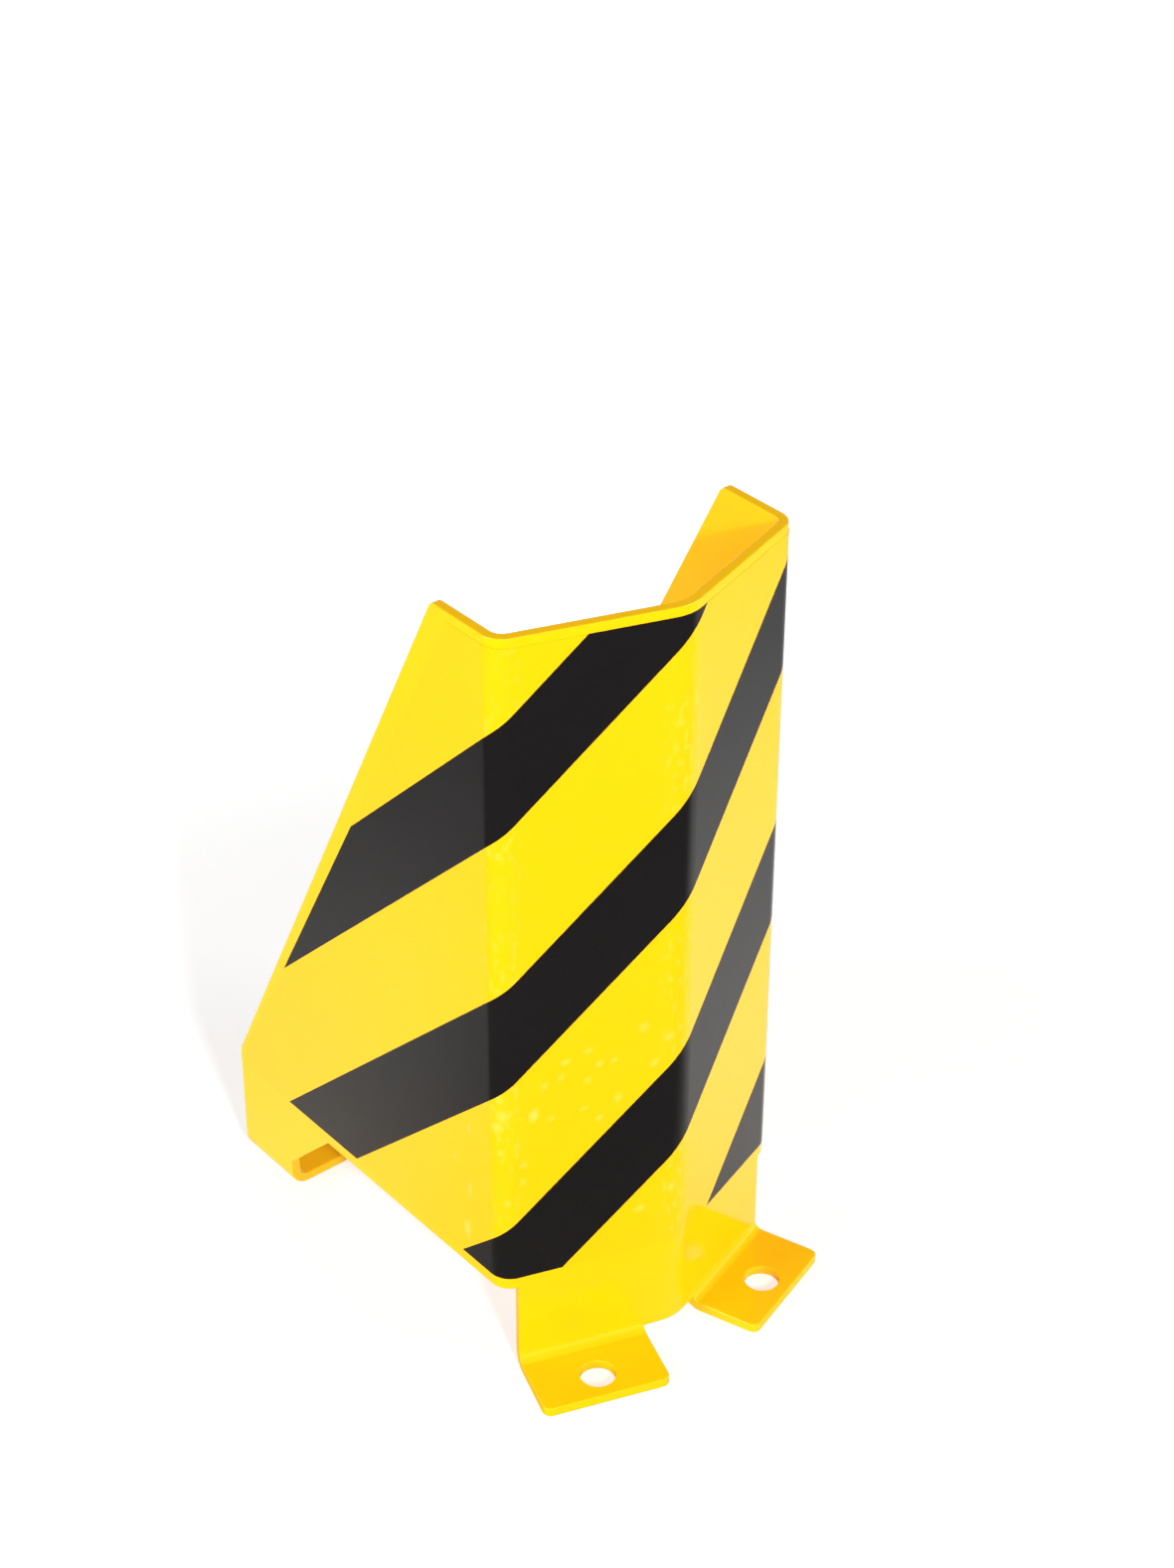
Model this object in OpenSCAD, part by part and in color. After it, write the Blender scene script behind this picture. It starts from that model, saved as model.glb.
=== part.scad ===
// Rack column guard: one folded steel sheet that stands round the front of a storage rack's
// column, with four feet for floor anchors and a striped warning film on its outer faces.
// The prow points to -Y, the open back to +Y, and the feet stand on Z = 0.

/* [Guard] */
// Height of the guard
guard_h = 400; // [300:1:500]
// Width across the outer faces of the side walls
guard_w = 165; // [155:1:220]
// Turn of each front wall away from straight across, in degrees
prow_angle = 19; // [12:0.5:28]
// Length of a side wall at its top, back from the sharp front corner
side_top_l = 42; // [25:0.5:90]
// Length of a side wall at its base, back from the sharp front corner
side_base_l = 213; // [160:1:260]
// Height where the sloping rear edge runs into the upright one
slope_end_z = 65; // [60:1:100]

/* [Sheet] */
// Thickness of the steel sheet
sheet_t = 5; // [3:0.5:6]
// Inner radius of the ridge between the front walls
ridge_bend_r = 17; // [6:0.5:20]
// Inner radius of the bends between the front and the side walls
side_bend_r = 6; // [3:0.5:9]
// Inner radius of the feet's bends
foot_bend_r = 4.5; // [3:0.5:7]
// Radius of the outer corners of the sheet
corner_r = 4; // [2:0.5:6]
// Radius between the sloping and the upright rear edge
slope_r = 12; // [5:1:25]

/* [Lower edge] */
// Height of the side walls' lower edge, which clears the base plate
notch_z = 50.5; // [40:0.5:56]
// Height of the upright edge in front of a rear foot, above its bend
heel_h = 7.5; // [3:0.5:12]
// Height of the lower edge between the two front feet
hem_z = 7; // [3:0.5:9]

/* [Feet] */
// Reach of every foot from the outer face of its wall
foot_l = 35.5; // [32:0.5:50]
// Width of a front foot along its wall
front_foot_w = 63; // [45:1:66]
// Flat strip of wall between a front foot and the side bend
foot_gap = 0.25; // [0.25:0.25:6]
// Width of a rear foot along its wall
rear_foot_w = 41; // [36:1:60]
// Diameter of an anchor hole
anchor_d = 17; // [10:0.5:18]
// Distance from the outer face of the wall to the anchor hole
anchor_set = 21; // [20:0.5:22]
// Distance from the rear edge of the guard to the rear anchor hole
rear_anchor_set = 19; // [15:0.5:21]

/* [Warning film] */
// Thickness of the film
film_t = 0.25; // [0.2:0.05:0.5]
// Bare strip of sheet above the film
film_top_gap = 4.5; // [2:0.5:12]
// Bare strip between the side walls' lower edge and the film
film_base_gap = 6.5; // [3:0.5:12]
// Bare strip behind the film at its top edge
film_rear_gap_top = 14; // [4:0.5:16]
// Bare strip behind the film at its base
film_rear_gap_base = 4; // [2:0.5:12]
// Width of a black stripe
stripe_w = 39.5; // [20:0.5:48]
// Distance from one black stripe to the next
stripe_pitch = 98; // [60:0.5:120]
// Slope of the stripes in degrees
stripe_angle = 44; // [30:0.5:55]
// Height of one black stripe's lower edge at the ridge of the prow
stripe_z = 112.5; // [60:0.5:200]

/* [Hidden] */
$fn = 96;

YELLOW_COAT = "#f5d90f";
YELLOW_FILM = "#f4e420";
BLACK_FILM = "#26262a";

// Room that a cutting shape has past what it cuts
past = 1;
// How far a rounding reaches past the faces that it joins, so that they meet in one clean edge
blend = 0.002;

// Outer radii of the bends, and the turn between a front and a side wall
ridge_out_r = ridge_bend_r + sheet_t;
side_out_r = side_bend_r + sheet_t;
foot_out_r = foot_bend_r + sheet_t;
bend_depth = max(ridge_out_r, side_out_r);
side_turn = 90 - prow_angle;

// All parts are drawn with Y = 0 at the sharp corners between the front and the side walls.
// Front wall: distances along its outer face from the sharp ridge of the prow
ridge_depth = guard_w / 2 * tan(prow_angle);
front_start = ridge_out_r * tan(prow_angle);
front_end = guard_w / 2 / cos(prow_angle) - side_out_r * tan(side_turn / 2);
foot_start = front_end - foot_gap - front_foot_w;

// Side wall: distances back from the sharp front corner
side_start = side_out_r * tan(side_turn / 2);
rear_foot_start = side_base_l - rear_foot_w;
heel_z = foot_out_r + heel_h;
cut_start = rear_foot_start - (notch_z - heel_z);
slope_angle = atan((side_base_l - side_top_l) / (guard_h - slope_end_z));
slope = [-sin(slope_angle), cos(slope_angle)];

// Centres of the bends in plan
side_bend = [guard_w / 2 - side_out_r, side_start];
ridge_bend = [0, ridge_out_r / cos(prow_angle) - ridge_depth];

// The origin is the middle of the guard's footprint on the floor
front_reach = ridge_depth - (foot_start + corner_r) * sin(prow_angle)
            + (foot_l - corner_r) * cos(prow_angle) + corner_r;
corner_y = (front_reach - side_base_l) / 2;

// Film: its lower and upper edge, and where the bands of neighbouring walls meet, just outside the
// film at the middle of a bend, as distances along the front and the side wall
film_z0 = notch_z + film_base_gap;
film_z1 = guard_h - film_top_gap;
film_slope_top = side_top_l + film_top_gap * tan(slope_angle) - film_rear_gap_top;
film_out_t = film_t + 10 * blend;
film_ridge = front_start - (ridge_out_r + film_out_t) * sin(prow_angle);
film_front_end = front_end + (side_out_r + film_out_t) * sin(side_turn / 2);
film_side_start = side_start - (side_out_r + film_out_t) * sin(side_turn / 2);

// Stripes: rise along the film, and their height and distance measured upright
stripe_rise = tan(stripe_angle);
stripe_h = stripe_w / cos(stripe_angle);
stripe_step = stripe_pitch / cos(stripe_angle);
stripe_reach = stripe_rise * (film_front_end + side_base_l) + stripe_h;
first_stripe = floor((film_z0 - stripe_z - stripe_reach) / stripe_step);
last_stripe = ceil((film_z1 - stripe_z + stripe_reach) / stripe_step);

// Frames

// Both halves of the guard, mirrored about the plane through the ridge
module both_sides() {
  children();
  mirror([1, 0, 0]) children();
}

// Right front wall: X along its outer face from the ridge, Y into the guard
module on_front() {
  translate([0, -ridge_depth, 0]) rotate([0, 0, prow_angle]) children();
}

// Right side wall: X back along its outer face from the sharp corner, Y into the guard
module on_side() {
  translate([guard_w / 2, 0, 0]) rotate([0, 0, 90]) children();
}

// Right front foot: as the front wall, from the start of the foot
module on_front_foot() {
  on_front() translate([foot_start, 0, 0]) children();
}

// Right rear foot: X back along the side wall's inner face from the start of the foot, Y out of the guard
module on_rear_foot() {
  translate([guard_w / 2 - sheet_t, rear_foot_start, 0]) rotate([0, 0, -90]) mirror([1, 0, 0]) children();
}

// Shape seen from the side, with X to the back and Y up, carried across the guard from x0 to x1
module across(x0, x1) {
  translate([x0, 0, 0]) rotate([90, 0, 90]) linear_extrude(x1 - x0) children();
}

// Sheet

// Guard filled out to its outer face, grown by a distance, from z0 to z1 and back to a given Y
module block(grow, z0, z1, back) {
  h = z1 - z0;
  translate([0, 0, z0]) {
    linear_extrude(h) polygon([
      [side_bend.x, back], side_bend, ridge_bend, [-side_bend.x, side_bend.y], [-side_bend.x, back]
    ]);
    translate(ridge_bend) cylinder(r = ridge_out_r + grow + blend, h = h);
    both_sides() {
      translate(side_bend) cylinder(r = side_out_r + grow + blend, h = h);
      on_front() translate([front_start, -grow, 0])
        cube([front_end - front_start, bend_depth + grow + past, h]);
      translate([side_bend.x - past, side_bend.y, 0])
        cube([side_out_r + grow + past, back - side_bend.y, h]);
    }
  }
}

// Corner of a profile at p, cut back along the directions a and b, which a circle then rounds
function corner(p, a, b, r) = let (l = r / tan(acos(a * b) / 2)) [p + l * a, p + l * b];
function corner_centre(p, a, b, r) = p + r / sin(acos(a * b) / 2) * (a + b) / norm(a + b);

// Side profile above the feet, with its sloping rear edge and rounded corners
module side_profile() {
  top = [side_top_l, guard_h];
  low = [side_base_l, slope_end_z];
  front = -ridge_depth - past;
  across(-guard_w, guard_w) polygon(concat(
    [[front, hem_z], [side_base_l, hem_z]],
    corner(low, [0, -1], slope, slope_r),
    corner(top, -slope, [-1, 0], corner_r),
    [[front, guard_h]]
  ));
  across(-guard_w, guard_w)
    translate(corner_centre(low, [0, -1], slope, slope_r)) circle(r = slope_r + blend);
  across(-guard_w, guard_w)
    translate(corner_centre(top, -slope, [-1, 0], corner_r)) circle(r = corner_r + blend);
}

// What is cut from under the right side wall: the notch over the base plate and the rear foot's bend
module side_cut() {
  intersection() {
    across(0, guard_w) polygon([
      [-ridge_depth, 0], [side_base_l + past, 0], [side_base_l + past, foot_out_r],
      [rear_foot_start, foot_out_r], [rear_foot_start, heel_z], [cut_start, notch_z], [-ridge_depth, notch_z]
    ]);
    on_front_foot() translate([front_foot_w, -guard_w, 0])
      cube([side_base_l, side_base_l + guard_w, notch_z]);
  }
}

// What is cut from an outer corner of a foot, which lies to +X of it, or to -X if turned is 1
module foot_corner(turned) {
  mirror([turned, 0, 0]) difference() {
    translate([-past, -past, -past]) cube([corner_r + past, corner_r + past, sheet_t + 2 * past]);
    translate([corner_r, corner_r, -2 * past]) cylinder(r = corner_r, h = sheet_t + 4 * past);
  }
}

// Foot that reaches to -Y from a wall with its face at Y = 0, bend included
module foot(w, reach, hole_x, hole_y) {
  translate([0, -foot_bend_r, foot_out_r]) rotate([90, 0, 90]) rotate([0, 0, -90])
    rotate_extrude(angle = 90) translate([foot_bend_r, 0]) square([sheet_t, w]);
  difference() {
    translate([0, -reach, 0]) cube([w, reach - foot_bend_r, sheet_t]);
    translate([0, -reach, 0]) foot_corner(0);
    translate([w, -reach, 0]) foot_corner(1);
    translate([hole_x, -hole_y, -past]) cylinder(d = anchor_d, h = sheet_t + 2 * past);
  }
}

module guard_sheet() {
  color(YELLOW_COAT) translate([0, corner_y, 0]) {
    difference() {
      intersection() {
        difference() {
          block(0, hem_z, guard_h, side_base_l + past);
          block(-sheet_t, hem_z - past, guard_h + past, side_base_l + 2 * past);
        }
        side_profile();
      }
      both_sides() {
        on_front_foot() translate([0, -past, 0]) cube([front_foot_w, sheet_t + 2 * past, foot_out_r]);
        side_cut();
      }
    }
    both_sides() {
      on_front_foot() foot(front_foot_w, foot_l, front_foot_w / 2, anchor_set);
      on_rear_foot() foot(rear_foot_w, foot_l - sheet_t, rear_foot_w - rear_anchor_set, anchor_set - sheet_t);
    }
  }
}

// Warning film

// Film over the whole outer face, between its lower and upper edge
module film() {
  front = -ridge_depth - past;
  base_back = side_base_l - film_rear_gap_base;
  intersection() {
    difference() {
      block(film_t, film_z0, film_z1, side_base_l);
      block(0, film_z0 - past, film_z1 + past, side_base_l + past);
    }
    across(-guard_w, guard_w) polygon([
      [front, film_z0], [base_back, film_z0], [base_back, slope_end_z], [film_slope_top, film_z1],
      [front, film_z1]
    ]);
  }
}

// Slanted bands through the film along a wall from x0 to x1. The height of one band's lower edge
// at x0 is z, and rise is its slope.
module bands(x0, x1, z, rise) {
  end = z + rise * (x1 - x0);
  translate([0, bend_depth, 0]) rotate([90, 0, 0]) linear_extrude(bend_depth + film_t + past)
    for (i = [first_stripe:last_stripe])
      translate([0, i * stripe_step]) polygon([[x0, z], [x1, end], [x1, end + stripe_h], [x0, z + stripe_h]]);
}

// Bands along the whole film that rise from the left to the right and run on across the bends
module stripes() {
  for (rise = [stripe_rise, -stripe_rise])
    mirror([rise < 0 ? 1 : 0, 0, 0]) {
      on_front() bands(film_ridge, film_front_end, stripe_z, rise);
      on_side() bands(film_side_start, side_base_l, stripe_z + rise * (film_front_end - film_ridge), rise);
    }
}

module yellow_film() {
  color(YELLOW_FILM) translate([0, corner_y, 0]) difference() {
    film();
    stripes();
  }
}

module black_film() {
  color(BLACK_FILM) translate([0, corner_y, 0]) intersection() {
    film();
    stripes();
  }
}

guard_sheet();
yellow_film();
black_film();
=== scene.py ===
"""Rack column guard: a folded yellow sheet with a striped warning film wrapped round its walls."""

import logging
import math
from dataclasses import dataclass
from enum import Enum

import bmesh
import bpy
from mathutils import Matrix, Vector, noise

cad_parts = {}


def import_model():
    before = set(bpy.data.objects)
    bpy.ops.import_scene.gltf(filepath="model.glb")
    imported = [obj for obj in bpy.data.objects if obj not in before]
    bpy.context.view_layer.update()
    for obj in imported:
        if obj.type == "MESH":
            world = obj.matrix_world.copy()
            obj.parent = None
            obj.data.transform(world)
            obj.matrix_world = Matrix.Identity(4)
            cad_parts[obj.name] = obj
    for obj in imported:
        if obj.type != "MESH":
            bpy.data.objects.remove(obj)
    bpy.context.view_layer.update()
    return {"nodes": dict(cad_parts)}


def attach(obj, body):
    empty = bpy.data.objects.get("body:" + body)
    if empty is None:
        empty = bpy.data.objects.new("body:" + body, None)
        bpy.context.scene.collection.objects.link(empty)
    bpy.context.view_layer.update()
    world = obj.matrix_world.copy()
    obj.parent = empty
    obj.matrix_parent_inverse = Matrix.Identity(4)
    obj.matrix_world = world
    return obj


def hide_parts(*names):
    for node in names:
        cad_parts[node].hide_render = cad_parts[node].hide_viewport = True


LOG = logging.getLogger("rack_column_guard")
BODY = "root"
MM = 0.001
LIFT = "lift"

Colour = tuple[float, float, float]
Place = tuple[float, float, float]


class Part(Enum):
    """The solids of the frame that the pieces stand for."""

    SHEET = "guard_sheet"
    YELLOW = "yellow_film"
    BLACK = "black_film"


class Slot(Enum):
    """The record's material slots."""

    COAT = "yellow_coat"
    YELLOW = "film_yellow"
    BLACK = "film_black"


class Ink(Enum):
    """The two colours of the warning film."""

    YELLOW = "yellow"
    BLACK = "black"


def new_object(name: str, mesh: bpy.types.Mesh) -> bpy.types.Object:
    """Puts a mesh into the scene.

    Args:
        name: Name of the object.
        mesh: Its mesh, in metres.

    Returns:
        The object, at the origin.
    """
    obj = bpy.data.objects.new(name, mesh)
    bpy.context.scene.collection.objects.link(obj)
    return obj


def shade(bm: bmesh.types.BMesh, sharp_angle: float) -> None:
    """Makes the faces smooth and keeps the edges crisp that turn more than an angle.

    Args:
        bm: The mesh to shade.
        sharp_angle: Turn in radians above which an edge stays crisp.
    """
    for face in bm.faces:
        face.smooth = True
    for edge in bm.edges:
        edge.smooth = edge.calc_face_angle(0.0) < sharp_angle


def settle(bm: bmesh.types.BMesh) -> None:
    """Puts points and faces into an order that is the same on each run.

    Args:
        bm: The mesh to sort, by place.
    """
    verts = sorted(bm.verts, key=lambda vert: vert.co[:])
    faces = sorted(bm.faces, key=lambda face: face.calc_center_median()[:])
    for items in (verts, faces):
        for index, item in enumerate(items):
            item.index = index
    bm.verts.sort()
    bm.faces.sort()


class Graph:
    """A node tree with short calls for placing and joining nodes."""

    NOISE_LOW = 0.3
    NOISE_HIGH = 0.7

    def __init__(self, tree: bpy.types.NodeTree) -> None:
        """Keeps the tree and empties it."""
        self.tree = tree
        self.tree.nodes.clear()

    def add(
        self, kind: str, inputs: dict[str | int, object] | None = None, **settings: object,
    ) -> bpy.types.Node:
        """Adds a node.

        Args:
            kind: Blender's name of the node type.
            inputs: Values for input sockets, or output sockets to join to them.
            settings: Properties of the node.

        Returns:
            The new node.
        """
        node = self.tree.nodes.new(kind)
        for name, value in settings.items():
            setattr(node, name, value)
        for name, value in (inputs or {}).items():
            if isinstance(value, bpy.types.NodeSocket):
                self.tree.links.new(value, node.inputs[name])
            else:
                node.inputs[name].default_value = value
        return node

    def noise(self, vector: bpy.types.NodeSocket, scale: object, detail: float) -> bpy.types.NodeSocket:
        """Adds a noise pattern.

        Args:
            vector: Place on the surface.
            scale: Patches per metre, or a socket that gives it.
            detail: How many finer layers the pattern has.

        Returns:
            The pattern as a value from 0 to 1.
        """
        node = self.add("ShaderNodeTexNoise", {"Vector": vector, "Scale": scale, "Detail": detail})
        return node.outputs["Fac"]

    def spread(self, value: bpy.types.NodeSocket, low: object, high: object) -> bpy.types.NodeSocket:
        """Carries the middle of a noise pattern over to a range.

        Args:
            value: The pattern.
            low: Lower end of the range, a number or a socket.
            high: Upper end of the range, a number or a socket.

        Returns:
            The value in that range.
        """
        node = self.add("ShaderNodeMapRange", {
            "Value": value, "From Min": self.NOISE_LOW, "From Max": self.NOISE_HIGH,
            "To Min": low, "To Max": high,
        })
        return node.outputs["Result"]

    def math(self, operation: str, first: object, second: object) -> bpy.types.NodeSocket:
        """Adds a sum of two values.

        Args:
            operation: Blender's name of the sum.
            first: A number or a socket.
            second: A number or a socket.

        Returns:
            The result.
        """
        return self.add("ShaderNodeMath", {0: first, 1: second}, operation=operation).outputs["Value"]

    def vector_math(self, operation: str, first: object, second: object) -> bpy.types.NodeSocket:
        """Adds a sum of two places that gives a value.

        Args:
            operation: Blender's name of the sum.
            first: A place or a socket.
            second: A place or a socket.

        Returns:
            The result.
        """
        node = self.add("ShaderNodeVectorMath", {0: first, 1: second}, operation=operation)
        return node.outputs["Value"]

    def mix(self, share: object, first: object, second: object) -> bpy.types.NodeSocket:
        """Adds a mix of two colours.

        Args:
            share: Share of the second colour.
            first: A colour or a socket.
            second: A colour or a socket.

        Returns:
            The mixed colour.
        """
        node = self.add("ShaderNodeMix", {"Factor": share}, data_type="RGBA")
        for name, value in (("A", first), ("B", second)):
            socket = next(s for s in node.inputs if s.name == name and s.type == "RGBA")
            if isinstance(value, bpy.types.NodeSocket):
                self.tree.links.new(value, socket)
            else:
                socket.default_value = (*value, 1.0)
        return next(s for s in node.outputs if s.type == "RGBA")


class SurfaceGroup:
    """The unevenness that the coat and the film share: mottled colour, uneven gloss and a fine grain."""

    NAME = "mottled_surface"
    MOTTLE_SCALE = 9.0
    MOTTLE_DETAIL = 3.0
    GLOSS_SCALE = 55.0
    GLOSS_DETAIL = 4.0
    GRAIN_DETAIL = 2.0

    @classmethod
    def tree(cls) -> bpy.types.NodeTree:
        """Makes the node group on the first call.

        Returns:
            The group, with its sockets.
        """
        if cls.NAME in bpy.data.node_groups:
            return bpy.data.node_groups[cls.NAME]
        tree = bpy.data.node_groups.new(cls.NAME, "ShaderNodeTree")
        for name, kind in (
            ("Place", "NodeSocketVector"), ("Colour", "NodeSocketColor"), ("Mottle", "NodeSocketFloat"),
            ("Roughness", "NodeSocketFloat"), ("Unevenness", "NodeSocketFloat"), ("Grain", "NodeSocketFloat"),
        ):
            tree.interface.new_socket(name, in_out="INPUT", socket_type=kind)
        for name, kind in (
            ("Colour", "NodeSocketColor"), ("Roughness", "NodeSocketFloat"), ("Height", "NodeSocketFloat"),
        ):
            tree.interface.new_socket(name, in_out="OUTPUT", socket_type=kind)
        graph = Graph(tree)
        given = graph.add("NodeGroupInput").outputs
        mottle = graph.noise(given["Place"], cls.MOTTLE_SCALE, cls.MOTTLE_DETAIL)
        dark = graph.math("SUBTRACT", 1.0, given["Mottle"])
        tint = graph.add(
            "ShaderNodeVectorMath",
            {0: given["Colour"], "Scale": graph.spread(mottle, dark, 1.0)},
            operation="SCALE",
        )
        gloss = graph.noise(given["Place"], cls.GLOSS_SCALE, cls.GLOSS_DETAIL)
        smooth = graph.math("SUBTRACT", given["Roughness"], given["Unevenness"])
        dull = graph.math("ADD", given["Roughness"], given["Unevenness"])
        graph.add("NodeGroupOutput", {
            "Colour": tint.outputs["Vector"],
            "Roughness": graph.spread(gloss, smooth, dull),
            "Height": graph.noise(given["Place"], given["Grain"], cls.GRAIN_DETAIL),
        })
        return tree


@dataclass(frozen=True)
class Finish:
    """A coloured surface with its gloss and grain."""

    name: str
    colour: Colour
    mottle: float
    roughness: float
    unevenness: float
    grain_scale: float
    grain_depth: float
    ior: float
    # Paler colour where air is trapped under the film. At the bends it is partly a painted highlight.
    air_and_highlight_colour: Colour | None = None
    air_and_highlight_share: float = 0.0

    def material(self) -> bpy.types.Material:
        """Builds the finish.

        Returns:
            The material, which reads Object coordinates and, over trapped air, the lift of the film.
        """
        material = bpy.data.materials.new(self.name)
        material.use_nodes = True
        graph = Graph(material.node_tree)
        place = graph.add("ShaderNodeTexCoord").outputs["Object"]
        surface = graph.add("ShaderNodeGroup", node_tree=SurfaceGroup.tree())
        graph.tree.links.new(place, surface.inputs["Place"])
        surface.inputs["Colour"].default_value = (*self.colour, 1.0)
        surface.inputs["Mottle"].default_value = self.mottle
        surface.inputs["Roughness"].default_value = self.roughness
        surface.inputs["Unevenness"].default_value = self.unevenness
        surface.inputs["Grain"].default_value = self.grain_scale
        colour = surface.outputs["Colour"]
        # Paler over trapped air. At the bends this paleness is partly a painted highlight.
        if self.air_and_highlight_colour is not None:
            lift = graph.add("ShaderNodeAttribute", attribute_name=LIFT).outputs["Fac"]
            colour = graph.mix(graph.math("MULTIPLY", lift, self.air_and_highlight_share), colour, self.air_and_highlight_colour)
        bump = graph.add("ShaderNodeBump", {
            "Strength": 1.0, "Distance": self.grain_depth, "Height": surface.outputs["Height"],
        })
        shader = graph.add("ShaderNodeBsdfPrincipled", {
            "Base Color": colour, "Roughness": surface.outputs["Roughness"], "IOR": self.ior,
            "Normal": bump.outputs["Normal"],
        })
        graph.add("ShaderNodeOutputMaterial", {"Surface": shader.outputs["BSDF"]})
        return material


YELLOW_COAT = Finish(
    name="yellow_powder_coat", colour=(1.0, 0.555, 0.003), mottle=0.02, roughness=0.09, unevenness=0.03,
    grain_scale=520.0, grain_depth=0.012 * MM, ior=1.5,
)
# The film's paler colour over trapped air is partly a painted highlight at the bends.
YELLOW_FILM = Finish(
    name="yellow_film", colour=(1.0, 0.535, 0.003), mottle=0.02, roughness=0.09, unevenness=0.03,
    grain_scale=260.0, grain_depth=0.01 * MM, ior=1.48, air_and_highlight_colour=(1.0, 0.7, 0.15), air_and_highlight_share=0.6,
)
BLACK_FILM = Finish(
    name="black_film", colour=(0.011, 0.010, 0.010), mottle=0.2, roughness=0.11, unevenness=0.04,
    grain_scale=260.0, grain_depth=0.01 * MM, ior=1.48,
)


@dataclass(frozen=True)
class WallPath:
    """The outer face of the walls in plan, as a flat film meets it on its way round the bends."""

    guard_w: float = 165.0 * MM
    corner_y: float = -78.6859 * MM
    prow_angle: float = math.radians(19.0)
    ridge_r: float = 22.0 * MM
    side_r: float = 11.0 * MM

    @property
    def ridge_arc(self) -> float:
        """Length of film on half of the ridge's bend."""
        return self.ridge_r * self.prow_angle

    @property
    def front_flat(self) -> float:
        """Length of film on the flat of a front wall."""
        sharp = self.guard_w / 2 / math.cos(self.prow_angle)
        return sharp - self.ridge_r * math.tan(self.prow_angle) - self.side_start

    @property
    def side_turn(self) -> float:
        """Turn between a front and a side wall."""
        return math.pi / 2 - self.prow_angle

    @property
    def side_start(self) -> float:
        """Distance from the sharp front corner to the flat of the side wall."""
        return self.side_r * math.tan(self.side_turn / 2)

    @property
    def bend_u(self) -> float:
        """Place on the film where the side bend starts."""
        return self.ridge_arc + self.front_flat

    @property
    def side_u(self) -> float:
        """Place on the film where the side wall's flat starts."""
        return self.bend_u + self.side_r * self.side_turn

    def film_u(self, back: float) -> float:
        """Place on the film at a distance back from the sharp front corner."""
        return self.side_u + back - self.side_start

    def place(self, u: float, z: float, off: float) -> Vector:
        """Carries a point of the flat film to the wall.

        Args:
            u: Distance along the film from the middle of the ridge, to the right.
            z: Height.
            off: Distance from the outer face of the sheet.

        Returns:
            The point in the frame of the part.
        """
        run = abs(u)
        if run < self.bend_u:
            depth = self.guard_w / 2 * math.tan(self.prow_angle)
            centre = Vector((0.0, self.corner_y - depth + self.ridge_r / math.cos(self.prow_angle)))
            along = Vector((math.cos(self.prow_angle), math.sin(self.prow_angle)))
            centre += max(run - self.ridge_arc, 0.0) * along
            turn = min(run, self.ridge_arc) / self.ridge_r
            radius = self.ridge_r + off
        else:
            centre = Vector((self.guard_w / 2 - self.side_r, self.corner_y + self.side_start))
            centre.y += max(run - self.side_u, 0.0)
            turn = self.prow_angle + min((run - self.bend_u) / self.side_r, self.side_turn)
            radius = self.side_r + off
        flat = centre + radius * Vector((math.sin(turn), -math.cos(turn)))
        return Vector((math.copysign(flat.x, u), flat.y, z))


@dataclass(frozen=True)
class Blister:
    """A patch of trapped air: its place on the film, its half sizes, and its share of the highest rise."""

    u: float
    z: float
    half_w: float
    half_h: float
    rise: float = 0.6

    def swell(self, u: float, z: float) -> float:
        """Share of the full rise at a place on the film, in millimetres there and here."""
        reach = ((u - self.u) / self.half_w) ** 2 + ((z - self.z) / self.half_h) ** 2
        return (1.0 - reach) ** 2 if reach < 1.0 else 0.0


BLISTERS = (
    Blister(-18.8, 187.0, 3.4, 3.4), Blister(-45.0, 180.8, 2.6, 2.2), Blister(-56.1, 177.4, 3.6, 2.4),
    Blister(-39.8, 172.2, 2.8, 2.4), Blister(-32.7, 172.4, 2.2, 2.0), Blister(-13.2, 165.7, 3.0, 3.0),
    Blister(-30.6, 150.5, 2.8, 3.4), Blister(-45.4, 164.2, 2.0, 2.0), Blister(-58.0, 169.4, 2.2, 1.9),
    Blister(-71.1, 151.2, 3.2, 5.0, 1.0), Blister(-62.7, 147.4, 2.2, 2.0), Blister(-39.6, 141.3, 2.6, 2.5),
    Blister(-47.2, 148.9, 2.0, 1.9), Blister(-65.9, 166.6, 2.2, 2.6), Blister(-6.4, 178.7, 4.0, 3.2),
    Blister(-87.0, 162.6, 3.0, 3.4), Blister(-85.5, 153.2, 4.6, 4.6), Blister(-88.2, 146.6, 5.0, 4.4),
    Blister(-86.7, 131.8, 2.2, 2.4), Blister(-76.0, 124.1, 2.6, 2.2), Blister(-76.5, 113.9, 2.2, 2.6),
    Blister(-19.2, 81.4, 3.6, 3.2), Blister(-3.6, 89.9, 3.0, 4.0), Blister(-83.7, 102.6, 2.2, 2.4),
    Blister(-107.6, 133.6, 2.2, 5.0), Blister(-118.6, 110.6, 2.4, 2.4), Blister(-107.9, 97.4, 2.2, 7.0),
    Blister(-110.1, 72.7, 3.2, 8.0, 1.0),
)


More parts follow.
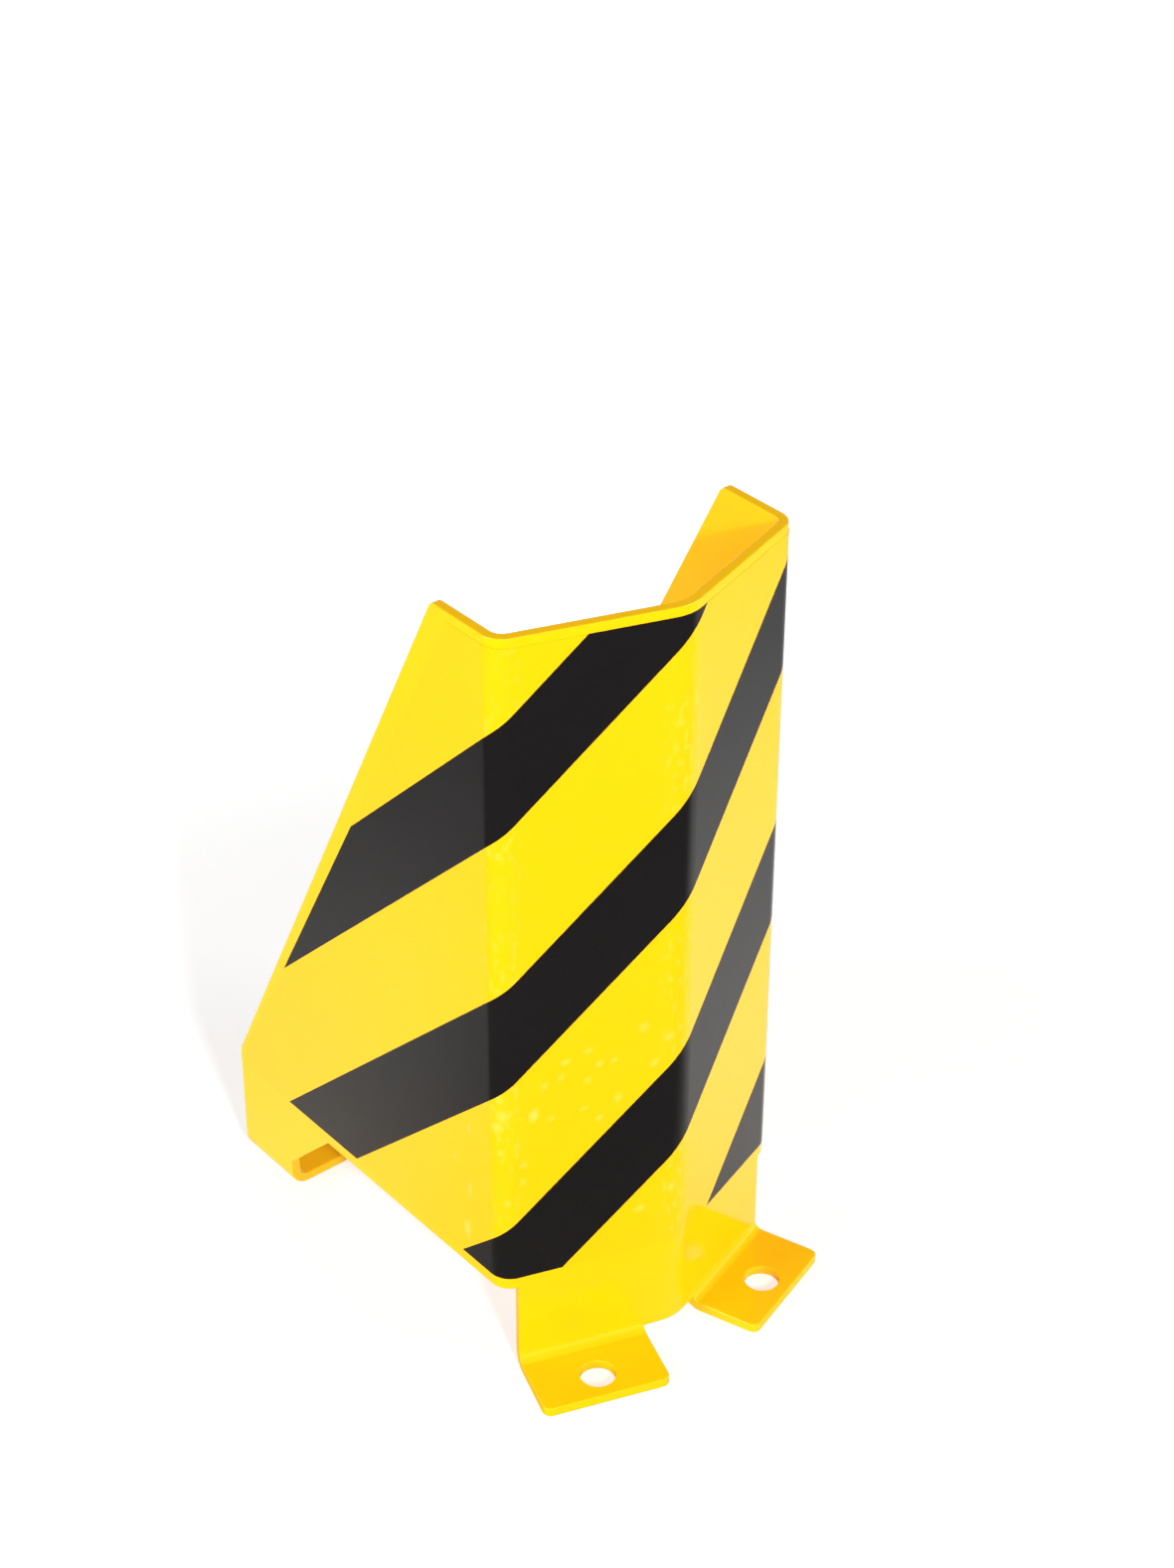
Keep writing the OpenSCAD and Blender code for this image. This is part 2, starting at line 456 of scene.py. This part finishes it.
@dataclass
class WarningFilm:
    """The self-adhesive film, cut flat into yellow and black and wrapped round the walls. Millimetres."""

    CUT_REACH = 1e-4

    path: WallPath
    thickness: float = 0.25
    low_z: float = 57.0
    high_z: float = 395.5
    rear_base: float = 209.0
    rear_top: float = 30.297
    slope_end_z: float = 65.0
    stripe_z: float = 112.5
    stripe_w: float = 39.5
    stripe_pitch: float = 98.0
    stripe_angle: float = math.radians(44.0)
    spare_stripes: int = 3
    row_h: float = 1.8
    side_zone: float = 36.0
    bend_margin: float = 6.0
    highest: float = 0.07
    patch_scale: tuple[float, float] = (0.06, 0.03)
    patch_slice: float = 3.7
    patch_mean: float = 0.6
    patch_swing: float = 0.9
    speck_scale: tuple[float, float] = (0.36, 0.24)
    speck_slice: float = 9.1
    speck_gain: float = 0.9
    speck_floor: float = 0.08
    crisp_turn: float = math.radians(40.0)

    @property
    def stripe_h(self) -> float:
        """Height of a stripe, measured straight up."""
        return self.stripe_w / math.cos(self.stripe_angle)

    @property
    def stripe_step(self) -> float:
        """Distance from stripe to stripe, measured straight up."""
        return self.stripe_pitch / math.cos(self.stripe_angle)

    @property
    def stripe_rise(self) -> float:
        """Rise of the stripes along the film."""
        return math.tan(self.stripe_angle)

    def columns(self) -> list[float]:
        """Spaces the columns of the mesh, closely at the bends and widely on the side walls.

        Returns:
            Distances along the film from its left to its right end.
        """
        path = self.path
        ridge, bend, side = path.ridge_arc / MM, path.bend_u / MM, path.side_u / MM
        margin = self.bend_margin
        zones = (
            (ridge, 9), (ridge + margin, 7), (bend - margin, 38), (bend, 7), (side, 18), (side + margin, 7),
            (side + self.side_zone, 14), (path.film_u(self.rear_base * MM) / MM, 16),
        )
        right = [0.0]
        for end, count in zones:
            start = right[-1]
            right += [start + (end - start) * (i + 1) / count for i in range(count)]
        return [-u for u in reversed(right[1:])] + right

    def flat(self) -> bmesh.types.BMesh:
        """Cuts the flat film to its outline and along the edges of its stripes.

        Returns:
            The flat film in millimetres, with X along the film and Y up.
        """
        columns = self.columns()
        rows = round((self.high_z - self.low_z) / self.row_h)
        bm = bmesh.new()
        bmesh.ops.create_grid(bm, x_segments=len(columns) - 1, y_segments=rows, size=0.5)
        for vert in bm.verts:
            vert.co.x = columns[round((vert.co.x + 0.5) * (len(columns) - 1))]
            vert.co.y = self.low_z + (vert.co.y + 0.5) * (self.high_z - self.low_z)
        base_u = self.path.film_u(self.rear_base * MM) / MM
        top_u = self.path.film_u(self.rear_top * MM) / MM
        for side in (-1.0, 1.0):
            normal = Vector((side * (self.high_z - self.slope_end_z), base_u - top_u, 0.0))
            self.cut(bm, Vector((side * base_u, self.slope_end_z, 0.0)), normal, clear=True)
        normal = Vector((-self.stripe_rise, 1.0, 0.0))
        reach = math.ceil(self.stripe_rise * base_u / self.stripe_step) + self.spare_stripes
        for step in range(-reach, reach + 1):
            for edge in (0.0, self.stripe_h):
                z = self.stripe_z + step * self.stripe_step + edge
                self.cut(bm, Vector((0.0, z, 0.0)), normal, clear=False)
        return bm

    def cut(self, bm: bmesh.types.BMesh, point: Vector, normal: Vector, clear: bool) -> None:
        """Cuts the flat film along a line.

        Args:
            bm: The film.
            point: A point on the line.
            normal: Direction across the line.
            clear: Whether what lies beyond the line is taken away.
        """
        bmesh.ops.bisect_plane(
            bm, geom=[*bm.verts, *bm.edges, *bm.faces], dist=self.CUT_REACH, plane_co=point,
            plane_no=normal.normalized(), clear_outer=clear,
        )

    def ink(self, u: float, z: float) -> Ink:
        """Says which colour the film has at a place."""
        above = (z - self.stripe_z - self.stripe_rise * u) % self.stripe_step
        return Ink.BLACK if above < self.stripe_h else Ink.YELLOW

    def lift(self, u: float, z: float) -> float:
        """Works out how far the film stands off the sheet.

        Args:
            u: Distance along the film.
            z: Height.

        Returns:
            The lift, as a share of the highest blister.
        """
        lift = max(blister.swell(u, z) * blister.rise for blister in BLISTERS)
        path = self.path
        run = abs(u)
        side = 1.0 - max(path.bend_u / MM - run, run - path.side_u / MM, 0.0) / self.bend_margin
        ridge = 1.0 - max(run - path.ridge_arc / MM, 0.0) / self.bend_margin
        near = min(max(side, ridge, 0.0), 1.0)
        patches = self.pattern(u, z, self.patch_scale, self.patch_slice)
        share = min(max(self.patch_mean + self.patch_swing * patches, 0.0), 1.0)
        specks = self.pattern(u, z, self.speck_scale, self.speck_slice)
        # Near the bends these specks also make the film's colour paler through the material, and that is
        # partly a painted highlight.
        loose = max(self.speck_gain * specks - self.speck_floor, 0.0) * share * near
        return min(max(lift, loose), 1.0)

    @staticmethod
    def pattern(u: float, z: float, scale: tuple[float, float], at: float) -> float:
        """Reads a noise pattern, drawn out along the film and up, at one slice of it."""
        return noise.noise(Vector((u * scale[0], z * scale[1], at)))

    def piece(self, ink: Ink, name: str) -> bpy.types.Object:
        """Wraps one colour of the film round the walls.

        Args:
            ink: The colour to keep.
            name: Name of the piece.

        Returns:
            The piece, a closed skin as thick as the film.
        """
        bm = self.flat()
        other = []
        for face in bm.faces:
            centre = face.calc_center_median()
            if self.ink(centre.x, centre.y) is not ink:
                other.append(face)
        bmesh.ops.delete(bm, geom=other, context="FACES")
        layer = bm.verts.layers.float.new(LIFT)
        for vert in bm.verts:
            u, z = vert.co.x, vert.co.y
            vert[layer] = self.lift(u, z)
            off = self.thickness + vert[layer] * self.highest
            vert.co = self.path.place(u * MM, z * MM, off * MM)
        bm.normal_update()
        bmesh.ops.solidify(bm, geom=bm.faces[:], thickness=self.thickness * MM)
        settle(bm)
        shade(bm, self.crisp_turn)
        mesh = bpy.data.meshes.new(name)
        bm.to_mesh(mesh)
        bm.free()
        return new_object(name, mesh)

    def build(self) -> list[bpy.types.Object]:
        """Builds and dresses both colours.

        Returns:
            The yellow and the black piece.
        """
        pieces = []
        for ink, part, slot, finish in (
            (Ink.YELLOW, Part.YELLOW, Slot.YELLOW, YELLOW_FILM),
            (Ink.BLACK, Part.BLACK, Slot.BLACK, BLACK_FILM),
        ):
            piece = self.piece(ink, f"{ink.value}_warning_film")
            piece.data.materials.append(finish.material())
            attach(piece, BODY)
            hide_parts(part.value)
            pieces.append(piece)
        return pieces


@dataclass
class GuardSheet:
    """The folded sheet, with the cut edges rounded as the coat leaves them. Millimetres."""

    solid: bpy.types.Object
    sheet_t: float = 5.0
    edge_r: float = 0.6
    edge_segments: int = 3
    merge: float = 0.02
    full_share: float = 0.98
    flat_turn: float = math.radians(0.5)
    cut_turn: float = math.radians(40.0)

    def build(self) -> bpy.types.Object:
        """Rounds the cut edges of a copy of the solid.

        Returns:
            The piece.
        """
        bm = bmesh.new()
        bm.from_mesh(self.solid.data)
        bmesh.ops.remove_doubles(bm, verts=bm.verts[:], dist=self.merge * MM)
        bmesh.ops.dissolve_degenerate(bm, edges=bm.edges[:], dist=self.merge * MM)
        bmesh.ops.dissolve_limit(
            bm, verts=bm.verts[:], edges=bm.edges[:], angle_limit=self.flat_turn,
            use_dissolve_boundaries=False,
        )
        bmesh.ops.bevel(
            bm, geom=self.cut_edges(bm), offset=self.edge_r * MM, offset_type="OFFSET", affect="EDGES",
            segments=self.edge_segments, profile=0.5, material=-1, clamp_overlap=False,
        )
        shade(bm, self.cut_turn)
        mesh = bpy.data.meshes.new("folded_sheet")
        bm.to_mesh(mesh)
        bm.free()
        piece = new_object("folded_sheet", mesh)
        normals = piece.modifiers.new("flat_walls", "WEIGHTED_NORMAL")
        normals.keep_sharp = True
        self.dress(piece)
        return piece

    def cut_edges(self, bm: bmesh.types.BMesh) -> list[bmesh.types.BMEdge]:
        """Finds the cut edges that have room to be rounded.

        Args:
            bm: The sheet.

        Returns:
            The outward edges, without those where the end of a foot runs out into its wall.
        """
        sharp = [edge for edge in bm.edges if edge.calc_face_angle(0.0) > self.cut_turn]
        full = self.full_share * self.sheet_t * MM
        short = [edge for edge in sharp if not edge.is_convex and edge.calc_length() < full]
        tight = {vert for edge in short for vert in edge.verts}
        return [edge for edge in sharp if edge.is_convex and tight.isdisjoint(edge.verts)]

    def dress(self, piece: bpy.types.Object) -> None:
        """Coats the piece and puts it in place of its solid."""
        piece.data.materials.append(YELLOW_COAT.material())
        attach(piece, BODY)
        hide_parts(Part.SHEET.value)


@dataclass(frozen=True)
class Lamp:
    """A square soft light that points at the guard."""

    name: str
    place: Place
    size: float
    power: float
    aim: Place = (0.0, -0.05, 0.2)

    def light(self) -> None:
        """Puts the light into the scene."""
        data = bpy.data.lights.new(self.name, "AREA")
        data.shape = "SQUARE"
        data.size = self.size
        data.energy = self.power
        obj = bpy.data.objects.new(self.name, data)
        obj.location = self.place
        away = Vector(self.place) - Vector(self.aim)
        obj.rotation_euler = away.to_track_quat("Z", "Y").to_euler()
        bpy.context.scene.collection.objects.link(obj)


LAMPS = (
    Lamp("front_light", (-1.33, -3.35, 2.0), 0.3, 113.0),
    Lamp("right_light", (2.36, -2.86, 1.85), 2.0, 80.0),
    Lamp("left_light", (-3.3, 0.7, 1.2), 1.8, 95.0),
    Lamp("top_light", (0.1, 0.2, 3.2), 1.6, 4.0),
    Lamp("back_light", (0.2, 3.6, 1.1), 1.6, 40.0),
)


@dataclass
class Studio:
    """A white floor with a painted reflection, a pale room with a dim ceiling, soft lamps and the camera."""

    floor_size: float = 30.0
    floor_colour: float = 0.75
    floor_white: float = 0.45
    glow_near: float = 0.64
    glow_reach: float = 0.3
    glow_end: float = 0.8
    # Painted reflection: in reflections the floor is painted bright near the guard and dim further out.
    painted_pool: Place = (0.25, 0.05, 0.0)
    painted_pool_near: float = 0.15
    painted_pool_far: float = 0.75
    painted_pool_bright: float = 1.0
    painted_pool_dim: float = 0.2
    # Painted reflection: in reflections the floor is painted dark toward this side, like a dark card on the
    # floor.
    painted_dark_azimuth: float = math.radians(-40.0)
    painted_dark_share: float = 0.06
    painted_dark_start: float = -0.035
    painted_dark_end: float = 0.16
    room_low: float = 1.0
    room_high: float = 0.08
    room_horizon: float = 0.05
    room_ceiling: float = 0.5
    aim: Place = (0.005508, -0.032389, 0.272042)
    azimuth: float = math.radians(-39.695)
    elevation: float = math.radians(33.177)
    roll: float = math.radians(0.2485)
    distance: float = 1.39613
    lens: float = 71.395
    film_height: float = 36.0

    def floor(self) -> None:
        """Lays the floor, with its top at the underside of the feet."""
        bm = bmesh.new()
        bmesh.ops.create_grid(bm, x_segments=1, y_segments=1, size=self.floor_size / 2)
        mesh = bpy.data.meshes.new("studio_floor")
        bm.to_mesh(mesh)
        bm.free()
        obj = new_object("studio_floor", mesh)
        obj.data.materials.append(self.floor_material())

    def floor_material(self) -> bpy.types.Material:
        """Makes the floor white to the eye; in reflections it shows a painted pool that is painted dark to
        one side.

        Returns:
            The material, which keeps the guard's shadow.
        """
        material = bpy.data.materials.new("studio_floor")
        material.use_nodes = True
        graph = Graph(material.node_tree)
        path = graph.add("ShaderNodeLightPath").outputs
        place = graph.add("ShaderNodeTexCoord").outputs["Object"]
        # Painted reflection: glossy rays see the floor painted bright near the guard and dark toward one
        # side.
        toward = Vector((math.sin(self.painted_dark_azimuth), -math.cos(self.painted_dark_azimuth), 0.0))
        along = graph.vector_math("DOT_PRODUCT", place, toward)
        near = graph.vector_math("DISTANCE", place, self.painted_pool)
        painted_pool = graph.add("ShaderNodeMapRange", {
            "Value": near, "From Min": self.painted_pool_near, "From Max": self.painted_pool_far,
            "To Min": self.painted_pool_bright, "To Max": self.painted_pool_dim,
        }).outputs["Result"]
        side = graph.add("ShaderNodeMapRange", {
            "Value": along, "From Min": self.painted_dark_start, "From Max": self.painted_dark_end,
            "To Min": 1.0, "To Max": self.painted_dark_share,
        }, interpolation_type="SMOOTHSTEP").outputs["Result"]
        painted_reflection = graph.math("MULTIPLY", painted_pool, side)
        far = graph.vector_math("DISTANCE", place, (0.0, 0.0, 0.0))
        level = graph.add("ShaderNodeMapRange", {
            "Value": far, "From Min": self.glow_reach, "From Max": self.glow_end,
            "To Min": self.glow_near, "To Max": 1.0,
        }, interpolation_type="SMOOTHSTEP").outputs["Result"]
        bounce = graph.add("ShaderNodeBsdfDiffuse", {"Color": (*(self.floor_colour,) * 3, 1.0)})
        lit = graph.add("ShaderNodeBsdfDiffuse", {"Color": (*(self.floor_white,) * 3, 1.0)})
        glow = graph.add("ShaderNodeEmission", {"Strength": level})
        white = graph.add("ShaderNodeAddShader", {0: lit.outputs["BSDF"], 1: glow.outputs["Emission"]})
        # The painted reflection: a diffuse floor whose colour is painted for glossy rays only.
        painted_mirror = graph.add("ShaderNodeBsdfDiffuse", {"Color": painted_reflection})
        seen = graph.math("MAXIMUM", path["Is Camera Ray"], path["Is Transmission Ray"])
        eye = graph.add("ShaderNodeMixShader", {
            0: seen, 1: bounce.outputs["BSDF"], 2: white.outputs["Shader"],
        })
        both = graph.add("ShaderNodeMixShader", {
            0: path["Is Glossy Ray"], 1: eye.outputs["Shader"], 2: painted_mirror.outputs["BSDF"],
        })
        graph.add("ShaderNodeOutputMaterial", {"Surface": both.outputs["Shader"]})
        return material

    def room(self) -> None:
        """Makes the room: pale near the horizon and dim overhead."""
        world = bpy.data.worlds.new("studio_room")
        world.use_nodes = True
        graph = Graph(world.node_tree)
        direction = graph.add("ShaderNodeTexCoord").outputs["Generated"]
        height = graph.add("ShaderNodeSeparateXYZ", {"Vector": direction}).outputs["Z"]
        level = graph.add("ShaderNodeMapRange", {
            "Value": height, "From Min": self.room_horizon, "From Max": self.room_ceiling,
            "To Min": self.room_low, "To Max": self.room_high,
        }, interpolation_type="SMOOTHSTEP").outputs["Result"]
        background = graph.add("ShaderNodeBackground", {"Color": (1.0, 1.0, 1.0, 1.0), "Strength": level})
        graph.add("ShaderNodeOutputWorld", {"Surface": background.outputs["Background"]})
        bpy.context.scene.world = world

    def camera(self) -> None:
        """Sets up the camera at the photograph's viewing angle."""
        back = Vector((
            math.sin(self.azimuth) * math.cos(self.elevation),
            -math.cos(self.azimuth) * math.cos(self.elevation),
            math.sin(self.elevation),
        ))
        right = Vector((math.cos(self.azimuth), math.sin(self.azimuth), 0.0))
        turn = Matrix((right, back.cross(right), back)).transposed().to_4x4()
        data = bpy.data.cameras.new("photo_camera")
        data.sensor_fit = "VERTICAL"
        data.sensor_height = self.film_height
        data.lens = self.lens
        obj = bpy.data.objects.new("photo_camera", data)
        place = Matrix.Translation(Vector(self.aim) + back * self.distance)
        obj.matrix_world = place @ turn @ Matrix.Rotation(self.roll, 4, "Z")
        bpy.context.scene.collection.objects.link(obj)
        bpy.context.scene.camera = obj

    def build(self) -> None:
        """Sets up the whole studio."""
        self.floor()
        self.room()
        for lamp in LAMPS:
            lamp.light()
        self.camera()
        bpy.context.scene.view_settings.view_transform = "Standard"


def main() -> None:
    """Builds the guard and its studio, and reports each piece."""
    logging.basicConfig(level=logging.INFO, format="%(name)s: %(message)s")
    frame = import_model()
    pieces = [GuardSheet(frame["nodes"][Part.SHEET.value]).build()]
    pieces += WarningFilm(WallPath()).build()
    for piece in pieces:
        LOG.info("%s: %d faces", piece.name, len(piece.data.polygons))
    Studio().build()


if __name__ == "__main__":
    main()
